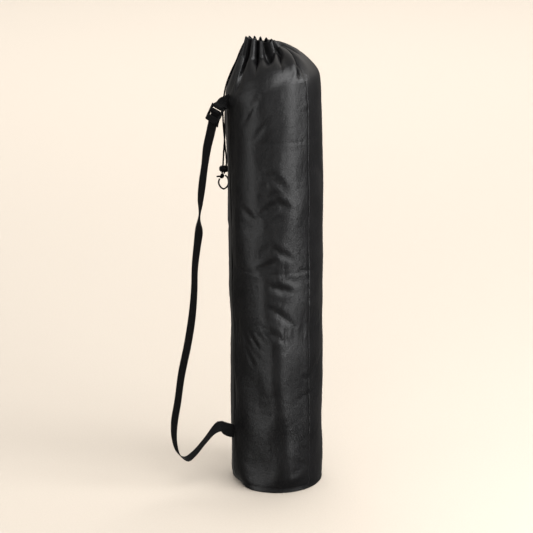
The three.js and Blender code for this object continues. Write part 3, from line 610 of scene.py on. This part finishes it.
def welded(piece, distance):
    """The same piece with its doubled points joined and its faces turned outwards."""
    built = bmesh.new()
    built.from_mesh(piece.data)
    bmesh.ops.remove_doubles(built, verts=built.verts, dist=distance)
    bmesh.ops.recalc_face_normals(built, faces=built.faces)
    built.to_mesh(piece.data)
    built.free()
    return piece


def grid_faces(columns, rows, first=0, flip=False):
    """Quads between the points of a grid."""
    place = first + np.arange(columns * rows).reshape(columns, rows)
    quads = np.stack([place[:-1, :-1], place[1:, :-1], place[1:, 1:], place[:-1, 1:]], -1)
    quads = quads.reshape(-1, 4)
    return quads[:, ::-1] if flip else quads


def shell_object(name, outer, inner, uvs):
    """A closed sheet between two grids of points."""
    columns, rows = outer.shape[:2]
    count = columns * rows
    place = np.arange(count).reshape(columns, rows)
    rim = np.concatenate([place[:-1, 0], place[-1, :-1], place[:0:-1, -1], place[0, :0:-1]])
    after = np.roll(rim, -1)
    edge = np.stack([after, rim, rim + count, after + count], -1)
    faces = np.concatenate([grid_faces(columns, rows), grid_faces(columns, rows, count, True), edge])
    points = np.concatenate([outer.reshape(-1, 3), inner.reshape(-1, 3)])
    return mesh_object(name, points, faces.tolist(), np.concatenate([uvs.reshape(-1, 2)] * 2))


def own(piece, slot, *nodes):
    """Gives a piece its body and its finish, and hides the solids that it stands for."""
    piece.data.materials.append(FINISHES[slot])
    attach(piece, "root")
    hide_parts(*nodes)
    return piece


def bands(place, table):
    return sum(rise * bell(place - middle, width) for rise, middle, width in table)


def panel_relief(angle, height, level, from_seam, run, seed):
    """How far a panel's face stands out: seams, foot, bends, pressed lines, hem and crumples."""
    columns, rows = height.shape
    ridge = SEAM_RIDGE + smoothstep(level, *SEAM_RISE)
    groove = SEAM_GROOVE * bell(from_seam, SEAM_GROOVE_WIDTH)
    seam = ridge * bell(from_seam, SEAM_RIDGE_WIDTH) - groove
    relief = seam * (1 - smoothstep(level, *SEAM_END))
    relief += bands(height, FOOT_BANDS)
    relief -= crease_depth(BENDS, angle, height) * smoothstep(level, *BEND_START)
    puckers = np.maximum(noise(height.shape, PUCKER_CELLS, seed), 0) * bell(from_seam, PUCKER_WIDTH)
    relief += PUCKER * np.sin(run / PUCKER_LENGTH) * puckers
    pressed = PRESS_MEAN + PRESS_CHANGE * noise(height.shape, PRESS_CELLS, seed + 2)
    for line in PRESS_HEIGHTS:
        relief += pressed * bands(height - line, PRESS_BANDS)
    waves = noise(height.shape, (columns // WAVE_CELL[0], rows // WAVE_CELL[1]), seed + 3)
    on_tube = smoothstep(level, *WAVE_START) * (1 - smoothstep(level, *WAVE_END))
    relief += WAVE * waves * on_tube
    relief += bands(level, HEM_BANDS)
    crumples = noise(height.shape, (columns // CRUMPLE_CELL[0], rows // CRUMPLE_CELL[1]), seed + 1)
    return relief + CRUMPLE * np.abs(crumples) * (1 - smoothstep(level, *SMOOTH_END))


def panel(name, settled_cloth, per_pleat, levels, first, last, shape, seed):
    """One cloth panel between two seams, with the relief of its face."""
    columns, rows = shape
    share = np.linspace(0, 1, columns)
    share = (1 - SEAM_CROWDING) * share + SEAM_CROWDING * smoothstep(share, 0, 1)
    pleat = first + (last - first) * share
    row = np.linspace(0, len(levels) - 1, rows)
    outer = sampled(settled_cloth, pleat * per_pleat, row)
    level = np.interp(row, np.arange(len(levels)), levels)[None, :]
    angle = cloth_angle(pleat, TUBE_ANGLES)[:, None]
    side = np.radians(angle) * TUBE_RADIUS
    run = run_along(steps_along(outer, 1).mean(0))[None, :]
    from_seam = np.minimum(side - side[0], side[-1] - side)
    relief = panel_relief(angle, outer[..., 2], level, from_seam, run, seed)
    outer = outer + grid_normals(outer, False) * relief[..., None]
    inner = outer - grid_normals(outer, False) * CLOTH_WALL
    return shell_object(name, outer, inner, stacked(side, run))


def base_object():
    """The round base with its low sewn rim."""
    angles = np.linspace(0, 360, BASE_SIDES + 1)[:, None]
    edge = TUBE_RADIUS - FOOT_DRAW / 2
    profile = [(ring, 0) for ring in BASE_RINGS] + [(edge + out, rise) for out, rise in BASE_RIM]
    profile += [(ring, BASE_TOP) for ring in BASE_RINGS[::-1]]
    out, height = np.array(profile).T[:, None]
    pushed = tuck(angles) * math.exp(-TUBE_BOTTOM / TUCK_REACH)
    radius = out - pushed * (out / edge) ** BASE_TUCK_POWER
    points = stacked(radius * cosine(angles), radius * sine(angles), height)
    faces = grid_faces(*points.shape[:2]).tolist()
    return welded(mesh_object("sewn_base", points, faces, points[..., :2]), WELD)


# Webbing.

def strap_point(out, height):
    return np.array([out * cosine(STRAP_ANGLE), out * sine(STRAP_ANGLE), height])


def width_vector(turn, dip):
    return np.array([cosine(dip) * cosine(turn), cosine(dip) * sine(turn), -sine(dip)])


def sewn_end(height, rise):
    """Last two points of webbing that rises or falls into the strap seam."""
    seam = tube_point(np.float64(STRAP_ANGLE), np.float64(height), False)
    root = seam + strap_point(SEWN_STAND - SEWN_SINK, 0)
    return root + strap_point(SEWN_LEAD, -rise), root


def lock_frame():
    """Axes of the ladder lock, along its bars, up and out of its front, and its top bar's middle."""
    top = strap_point(*LOCK_TOP)
    up = unit(top - strap_point(*LOCK_LOW))
    across = width_vector(LOCK_TURN, 0)
    across = unit(across - up * across.dot(up))
    return across, up, np.cross(across, up), top


LOCK_ACROSS, LOCK_UP, LOCK_FRONT, LOCK_ORIGIN = lock_frame()
WRAP = LOCK_BAR / 2 + BAR_CLEARANCE + WEBBING_THICKNESS / 2


def in_lock(y, z):
    return LOCK_ORIGIN + LOCK_UP * y + LOCK_FRONT * z


def band_object(name, stations, ways=None):
    """Flat webbing through stations, each a middle point and the way that its width points."""
    stations = np.array(stations, float)
    points, across = stations[:, :3], stations[:, 3:]
    along = unit(np.gradient(points, axis=0) if ways is None else np.array(ways))
    across = unit(across - along * (across * along).sum(1, keepdims=True))
    face = np.cross(along, across)
    turn = np.radians(np.arange(0, 360, BAND_STEP))
    wide = np.sign(np.cos(turn)) * np.abs(np.cos(turn)) ** BAND_WIDE
    thick = np.sign(np.sin(turn)) * np.abs(np.sin(turn)) ** BAND_THICK * WEBBING_THICKNESS / 2
    wide = np.where(np.abs(np.cos(turn)) < TINY, 0, wide) * WEBBING_WIDTH / 2
    ring = points[:, None] + across[:, None] * wide[:, None] + face[:, None] * thick[:, None]
    run = run_along(steps_along(points))
    ring = np.concatenate([ring, ring[:, :1]], 1)
    wide = np.append(wide, wide[0])
    uvs = stacked(wide, run[:, None])
    sides = len(turn) + 1
    last = (len(run) - 1) * sides
    faces = grid_faces(len(run), sides, flip=True).tolist()
    faces += [list(range(sides - 1)), list(range(last + sides - 2, last - 1, -1))]
    return welded(mesh_object(name, ring, faces, uvs), BAND_WELD)


def strap_object():
    """The strap: a tail, over the middle bar, under the plate and down its route to the seam."""
    turns = np.linspace(180, 180 - STRAP_WRAP, WRAP_STEPS)
    wrap = [(-WRAP * sine(turn), WRAP * cosine(turn)) for turn in turns]
    held = [(*in_lock(LOCK_MIDDLE_BAR - below, front), *LOCK_ACROSS)
            for below, front in (*STRAP_TAIL, *wrap, *STRAP_LEAD)]
    hung = [(*strap_point(*row[:2]), *width_vector(*row[2:])) for row in STRAP_ROUTE]
    lead, root = sewn_end(STRAP_END_HEIGHT, STRAP_END_RISE)
    end_across = width_vector(STRAP_END_TURN, STRAP_END_DIP)
    route = [held[-1], *hung, (*lead, *end_across)]
    hanging = even_steps(smooth_route(route, ROUTE_STEPS), STRAP_STEP)
    stations = [*smooth_route(held, HELD_STEPS)[:-1], *hanging, (*root, *end_across)]
    return band_object("webbing_strap", stations)


def tab_object():
    """The tab: one length of webbing folded round the top bar, with both ends in the seam."""
    lead, root = sewn_end(TAB_HEIGHT, TAB_RISE)
    bar = in_lock(0, 0)
    to_root = lead - bar
    reach = unit(to_root - LOCK_ACROSS * to_root.dot(LOCK_ACROSS))
    face = np.cross(reach, LOCK_ACROSS)
    down = np.array([0, 0, -1.0])

    def layer(side):
        stations, ways = [], []
        for share in [*np.linspace(1 / TAB_STEPS, 1, TAB_STEPS), 2]:
            middle = root if share > 1 else bar + to_root * share
            way = -strap_point(1, 0) if share > 1 else to_root
            across = unit(LOCK_ACROSS + (down - LOCK_ACROSS) * smoothstep(share, *TAB_TWIST))
            offset = (WRAP + (TAB_LAYER - WRAP) * smoothstep(share, *TAB_CLOSE)) * side
            stations.append((*(middle + unit(np.cross(way, across)) * offset), *across))
            ways.append(-side * way)
        return stations, ways

    bend, turns = [], []
    for turn in np.linspace(90, 270, TAB_BEND_STEPS):
        bend.append((*(bar + reach * WRAP * cosine(turn) + face * WRAP * sine(turn)), *LOCK_ACROSS))
        turns.append(face * cosine(turn) - reach * sine(turn))
    (upper, from_root), (lower, to_seam) = layer(1), layer(-1)
    return band_object(
        "webbing_tab", [*upper[::-1], *bend, *lower], [*from_root[::-1], *turns, *to_seam])


# Moulded pieces.

def round_edges(built, points, offset, segments, least_angle=0):
    """Rounds the edges between points of a bmesh, down to an angle between their faces."""
    points = set(points)
    edges = [
        edge for edge in built.edges
        if points.issuperset(edge.verts) and edge.calc_face_angle(0) >= least_angle]
    bmesh.ops.bevel(
        built, geom=edges, offset=offset, segments=segments, profile=BEVEL_PROFILE, affect="EDGES")


def rounded_box(built, size, place, bevel):
    """Adds a box with rounded edges to a bmesh."""
    fitted = Matrix.Translation(place) @ Matrix.Diagonal((*size, 1))
    corners = bmesh.ops.create_cube(built, size=1, matrix=fitted)["verts"]
    round_edges(built, corners, bevel, segments=3)


def plate_outline(built):
    """Adds the lift plate, flat and with round lower corners, to a bmesh."""
    half, foot, low, corner = LOCK_WIDTH / 2, PLATE_WIDTH / 2, -PLATE_LENGTH, PLATE_CORNER
    outline = [(-half, 0)]
    for side in (-1, 1):
        for turn in np.linspace(0, 90, PLATE_CORNER_STEPS)[::-side]:
            x = foot - corner + corner * cosine(turn)
            outline.append((side * x, low + corner - corner * sine(turn)))
    outline.append((half, 0))
    ring = [built.verts.new((x, y, 0)) for x, y in outline]
    flat = built.faces.new(ring)
    raised = bmesh.ops.extrude_face_region(built, geom=[flat])["geom"]
    lifted = [part for part in raised if isinstance(part, bmesh.types.BMVert)]
    bmesh.ops.translate(built, vec=(0, 0, PLATE_THICKNESS), verts=lifted)
    round_edges(built, ring + lifted, PLATE_BEVEL, segments=2, least_angle=PLATE_EDGE_ANGLE)


def lock_object():
    """The ladder lock with rounded rails, round bars and a lift plate with grip ribs."""
    built = bmesh.new()
    rail_x = (LOCK_WIDTH - LOCK_RAIL) / 2
    for x in (-rail_x, rail_x):
        middle = (LOCK_THICKNESS - LOCK_RAIL_LENGTH) / 2
        rounded_box(built, (LOCK_RAIL, LOCK_RAIL_LENGTH, LOCK_THICKNESS), (x, middle, 0), RAIL_BEVEL)
    for y in (0, LOCK_MIDDLE_BAR):
        laid = Matrix.Translation((0, y, 0)) @ Matrix.Rotation(math.pi / 2, 4, "Y")
        bmesh.ops.create_cone(
            built, cap_ends=True, segments=BAR_SIDES, radius1=LOCK_BAR / 2, radius2=LOCK_BAR / 2,
            depth=LOCK_WIDTH - LOCK_RAIL, matrix=laid)
    before = set(built.verts)
    plate_outline(built)
    for k in range(RIBS):
        rib = (0, RIB_START - PLATE_LENGTH + RIB_PITCH * k, PLATE_THICKNESS)
        rounded_box(built, (PLATE_WIDTH - RIB_INSET, RIB_SIZE, RIB_SIZE), rib, RIB_BEVEL)
    plate = [corner for corner in built.verts if corner not in before]
    tilt = Matrix.Rotation(math.radians(-PLATE_TILT), 4, "X")
    tilted = Matrix.Translation((0, PLATE_TOP, PLATE_BACK)) @ tilt
    bmesh.ops.transform(built, matrix=tilted, verts=plate)
    axes = Matrix((LOCK_ACROSS, LOCK_UP, LOCK_FRONT)).transposed().to_4x4()
    built.transform(Matrix.Translation(Vector(LOCK_ORIGIN)) @ axes)
    bmesh.ops.recalc_face_normals(built, faces=built.faces)
    points = [corner.co[:] for corner in built.verts]
    built.verts.index_update()
    faces = [[corner.index for corner in face.verts] for face in built.faces]
    built.free()
    return mesh_object("moulded_ladder_lock", points, faces)


def bean_object():
    """The two-lobed cord lock, dimpled where the cord goes in."""
    turn = np.linspace(0, 180, BEAN_ROWS)[:, None]
    round_turn = np.linspace(0, 360, BEAN_SIDES)[None, :]
    lobe = BEAN_WAIST + (BEAN_LOBE - BEAN_WAIST) * np.abs(cosine(turn))
    radius = lobe * np.abs(sine(turn)) ** BEAN_BLUNT
    along = -BEAN_HALF_LENGTH * cosine(turn)
    points = stacked(along, radius * cosine(round_turn), radius * sine(round_turn))
    groove = BEAN_GROOVE * bell(points[..., 0], BEAN_GROOVE_WIDTH)
    points[..., 1:] *= (1 - groove / BEAN_WAIST)[..., None]
    for x, z in BEAN_HOLES:
        side = np.hypot(points[..., 0] - (x - BEAN_PLACE[0]) * DIMPLE_DRAW, points[..., 1])
        on_face = points[..., 2] * z > 0
        points[..., 2] -= math.copysign(DIMPLE_DEPTH, z) * bell(side, DIMPLE_WIDTH) * on_face
    faces = grid_faces(BEAN_ROWS, BEAN_SIDES).tolist()
    return welded(mesh_object("moulded_cord_lock", points + np.array(BEAN_PLACE), faces), WELD)


# Drawcord.

def braided_tube(line, closed, taper=0):
    """Points and faces of a braided cord along a dense line."""
    along = unit(heading(line, closed))
    side = np.zeros_like(line)
    side[0] = unit(np.cross(along[0], BRAID_FIRST_SIDE))
    for i in range(1, len(line)):
        side[i] = unit(side[i - 1] - along[i] * side[i - 1].dot(along[i]))
    other = np.cross(along, side)
    step = np.linalg.norm(line[1] - line[0])
    run = np.arange(len(line))[:, None] * step
    turn = np.arange(BRAID_SIDES)[None, :] * 2 * math.pi / BRAID_SIDES
    climb = 2 * math.pi * run / BRAID_PITCH
    strands = np.maximum(np.abs(np.sin(2 * turn + climb)), np.abs(np.sin(2 * turn - climb)))
    radius = CORD_DIAMETER / 2 * (1 - BRAID_DEPTH * (1 - strands))
    if taper:
        radius = radius * (1 - TAIL_TAPER * smoothstep(run, run[-1] - taper, run[-1]))
    ring = line[:, None] + radius[..., None] * (
        side[:, None] * np.cos(turn)[..., None] + other[:, None] * np.sin(turn)[..., None])
    place = np.arange(len(line) * BRAID_SIDES).reshape(-1, BRAID_SIDES)
    after = np.roll(place, -1, 1)
    above, above_after = np.roll(place, -1, 0), np.roll(after, -1, 0)
    quads = np.stack([place, after, above_after, above], -1)
    faces = (quads if closed else quads[:-1]).reshape(-1, 4).tolist()
    if not closed:
        faces += [place[0, ::-1].tolist(), place[-1].tolist()]
    return ring.reshape(-1, 3), faces


def cord_object(name, route):
    """A braided cord along a route, with the path that it follows and its length, in metres."""
    line = even_steps(smooth_route(route, SPAN_STEPS), BRAID_STEP)
    ring, faces = braided_tube(line, False)
    length = float(steps_along(line).sum()) / METRE
    path = (np.concatenate([line[::PATH_STEP], line[-1:]]) / METRE).tolist()
    return mesh_object(name, ring, faces), path, length


def knot_object():
    """An overhand knot drawn tight, with its short sealed tail."""
    turn = np.linspace(0, 2 * math.pi, KNOT_STEPS, endpoint=False)
    swing = 2 + np.cos(3 * turn)
    flat = stacked(
        swing * np.cos(2 * turn) * KNOT_SIZE[0],
        np.sin(3 * turn) * KNOT_SIZE[2],
        swing * np.sin(2 * turn) * KNOT_SIZE[1],
    )
    tilt = np.array(Matrix.Rotation(math.radians(KNOT_TILT), 3, "Y"))
    ring, faces = braided_tube(flat @ tilt.T + np.array(KNOT_PLACE), True)
    tail = even_steps(np.array([TAIL_START, TAIL_END], float), BRAID_STEP)
    tail_ring, tail_faces = braided_tube(tail, False, TAIL_SEALED)
    faces += [[corner + len(ring) for corner in face] for face in tail_faces]
    return mesh_object("tied_knot", np.concatenate([ring, tail_ring]), faces)


# Materials.

class Nodes:
    """Adds nodes to a node tree and links them."""

    def __init__(self, tree):
        self.tree = tree

    def node(self, kind, **settings):
        made = self.tree.nodes.new(kind)
        for key, value in settings.items():
            if key in made.inputs:
                self.feed(value, made.inputs[key])
            else:
                setattr(made, key, value)
        return made

    def feed(self, value, socket):
        if isinstance(value, bpy.types.NodeSocket):
            self.tree.links.new(value, socket)
        else:
            socket.default_value = value

    def math(self, operation, *values):
        made = self.node("ShaderNodeMath", operation=operation)
        for value, socket in zip(values, made.inputs):
            self.feed(value, socket)
        return made.outputs[0]

    def place(self, source):
        return self.node("ShaderNodeTexCoord").outputs[source]

    def parts(self, vector):
        return self.node("ShaderNodeSeparateXYZ", Vector=vector).outputs

    def spread(self, value, *ends):
        """A value mapped from the first two ends to the last two."""
        made = self.node("ShaderNodeMapRange", Value=value)
        for name, end in zip(("From Min", "From Max", "To Min", "To Max"), ends):
            made.inputs[name].default_value = end
        return made.outputs["Result"]


class Finish(Nodes):
    """A node material that is built up input by input."""

    def __init__(self, name, coordinates, **sockets):
        self.material = bpy.data.materials.new(name)
        self.material.use_nodes = True
        super().__init__(self.material.node_tree)
        self.shader = self.tree.nodes["Principled BSDF"]
        self.at = self.place(coordinates)
        for socket, value in sockets.items():
            self.shader.inputs[socket.replace("_", " ")].default_value = value

    def noise(self, **settings):
        return self.node("ShaderNodeTexNoise", Vector=self.at, **settings).outputs["Fac"]

    def bump(self, height, **settings):
        return self.node("ShaderNodeBump", Height=height, **settings).outputs["Normal"]

    def weave(self, across, along):
        """Height of a weave with these pitches, in metres, across and along the cloth."""
        parts = self.parts(self.at)
        turns = [self.math("MULTIPLY", parts[axis], 2 * math.pi / pitch)
                 for axis, pitch in (("X", across), ("Y", along))]
        return self.math("MULTIPLY", *[self.math("SINE", turn) for turn in turns])

    def tint(self, value, colours, roughness=None):
        """Lets a value from 0 to 1 choose the colour, and the roughness if it has two ends."""
        made = self.node("ShaderNodeValToRGB", Fac=value)
        for element, place, colour in zip(made.color_ramp.elements, RAMP_ENDS, colours):
            element.position = place
            element.color = (*colour, 1)
        self.feed(made.outputs["Color"], self.shader.inputs["Base Color"])
        if roughness is not None:
            self.feed(self.spread(value, 0, 1, *roughness), self.shader.inputs["Roughness"])

    def with_normal(self, normal):
        self.feed(normal, self.shader.inputs["Normal"])
        return self.material


def cloth_finish():
    """Black nylon taffeta: a fine plain weave with a soft sheen and faint crinkles."""
    made = Finish("nylon_taffeta", "UV", Roughness=0.43, Specular_IOR_Level=0.65)
    made.tint(made.noise(Scale=22, Detail=4), CLOTH_BLACKS, roughness=(0.33, 0.43))
    crinkle = made.noise(Scale=260, Detail=3)
    normal = made.bump(crinkle, Strength=0.55, Distance=0.0006)
    weave = made.weave(across=0.0006, along=0.0006)
    return made.with_normal(made.bump(weave, Strength=0.12, Distance=0.0001, Normal=normal))


def webbing_finish():
    """Black woven webbing with ribs across and rows of yarn along it."""
    made = Finish("woven_webbing", "UV", Roughness=0.7, **FUZZY)
    fuzz = made.noise(Scale=900, Detail=2)
    made.tint(fuzz, TRIM_BLACKS, roughness=(0.6, 0.8))
    weave = made.weave(across=0.0021, along=0.0016)
    normal = made.bump(weave, Strength=0.5, Distance=0.0003)
    return made.with_normal(made.bump(fuzz, Strength=0.15, Distance=0.0001, Normal=normal))


def plastic_finish():
    """Black moulded plastic with a fine satin grain."""
    made = Finish("moulded_plastic", "Object", Roughness=0.38, Specular_IOR_Level=0.2)
    made.tint(made.noise(Scale=180, Detail=3), TRIM_BLACKS, roughness=(0.3, 0.48))
    grain = made.noise(Scale=2600, Detail=2)
    return made.with_normal(made.bump(grain, Strength=0.12, Distance=0.0001))


def braid_finish():
    """Black braided cord with loose fibres."""
    made = Finish("braided_cord", "Object", Roughness=0.65, **FUZZY)
    fibres = made.noise(Scale=4200, Detail=2)
    made.tint(fibres, TRIM_BLACKS, roughness=(0.55, 0.75))
    return made.with_normal(made.bump(fibres, Strength=0.3, Distance=0.0001))


def paper_finish():
    """Pale cream seamless paper."""
    made = Finish("cream_paper", "Object", Roughness=0.85, Specular_IOR_Level=0.2)
    grain = made.noise(Scale=300, Detail=2)
    made.tint(grain, PAPER_CREAMS)
    return made.with_normal(made.bump(grain, Strength=0.02, Distance=0.0002))


# Floor, lights and room.

def floor_object():
    """The round paper floor with its upturned rim."""
    turn = np.linspace(0, 90, COVE_STEPS)
    reach = np.append(FLOOR_RADIUS + COVE * sine(turn), FLOOR_RADIUS + COVE)
    rise = np.append(COVE - COVE * cosine(turn), RIM_HEIGHT)
    angles = np.linspace(0, 360, FLOOR_SIDES + 1)[:, None]
    points = stacked(reach * cosine(angles), reach * sine(angles), rise) * METRE
    faces = grid_faces(*points.shape[:2]).tolist()
    faces.append([side * len(reach) for side in range(FLOOR_SIDES)])
    return mesh_object("paper_floor", points, faces)


def area_light(name, place, target, size, power, roll, mirrored):
    """A soft rectangular studio light that points at a place, rolled about its own axis."""
    light = bpy.data.lights.new(name, "AREA")
    light.shape = "RECTANGLE"
    light.size, light.size_y = size
    light.energy = power
    made = new_object(name, light)
    made.location = place
    facing = (Vector(target) - Vector(place)).to_track_quat("-Z", "Y")
    made.rotation_euler = (facing @ Quaternion((0, 0, 1), math.radians(roll))).to_euler()
    made.visible_glossy = mirrored


def world_glow():
    """A dim room that glows on the far side, most above the floor and to the right."""
    world = bpy.data.worlds.new("studio")
    world.use_nodes = True
    nodes = Nodes(world.node_tree)
    background = nodes.tree.nodes["Background"].inputs
    background["Color"].default_value = GLOW_COLOUR
    parts = nodes.parts(nodes.place("Generated"))
    far, raised, right, around, left = [nodes.spread(parts[axis], *ends) for axis, *ends in GLOW]
    low = nodes.math("MULTIPLY", around, left)
    high = nodes.math("MULTIPLY", raised, right)
    nodes.feed(nodes.math("MULTIPLY_ADD", far, high, low), background["Strength"])
    return world


FINISHES = {
    "cloth": cloth_finish(),
    "webbing": webbing_finish(),
    "plastic": plastic_finish(),
    "cord": braid_finish(),
}

# Camera.
camera = new_object("camera", bpy.data.cameras.new("camera"))
camera.location = CAMERA_PLACE
camera.rotation_euler = [math.radians(angle) for angle in CAMERA_TURN]
camera.data.lens = CAMERA_LENS
camera.data.sensor_width = CAMERA_SENSOR
bpy.context.scene.camera = camera

# Drawcord pieces.
bean = own(bean_object(), "plastic", "cord_lock")
knot = own(knot_object(), "cord", "cord_knot")
for name, node, route, pieces in (
        ("braided_run_1", "drawcord_run_1", RUN_1, [bean, knot]),
        ("braided_run_2", "drawcord_run_2", RUN_2, [bean, knot]),
        ("braided_loop", "drawcord_loop", LOOP, [knot])):
    cord, path, length = cord_object(name, route)
    own(cord, "cord", node)

# Cloth pieces.
cloth = cloth_grid()
front = panel("cloth_front", *cloth, 0, SIDE_SEAM, FRONT_GRID, SEED + 10)
back = panel("cloth_back", *cloth, SIDE_SEAM, PLEATS, BACK_GRID, SEED + 20)
base = base_object()
own(front, "cloth", "front_panel")
own(back, "cloth", "back_panel")
own(base, "cloth", "base_panel")

# Webbing and the ladder lock.
own(strap_object(), "webbing", "shoulder_strap")
own(tab_object(), "webbing", "strap_tab")
own(lock_object(), "plastic", "ladder_lock")

# Floor, lights and room.
floor = floor_object()
floor.data.materials.append(paper_finish())
floor.visible_glossy = floor.visible_shadow = False
for light in LIGHTS:
    area_light(*light)
bpy.context.scene.world = world_glow()
bpy.context.scene.view_settings.view_transform = "Standard"
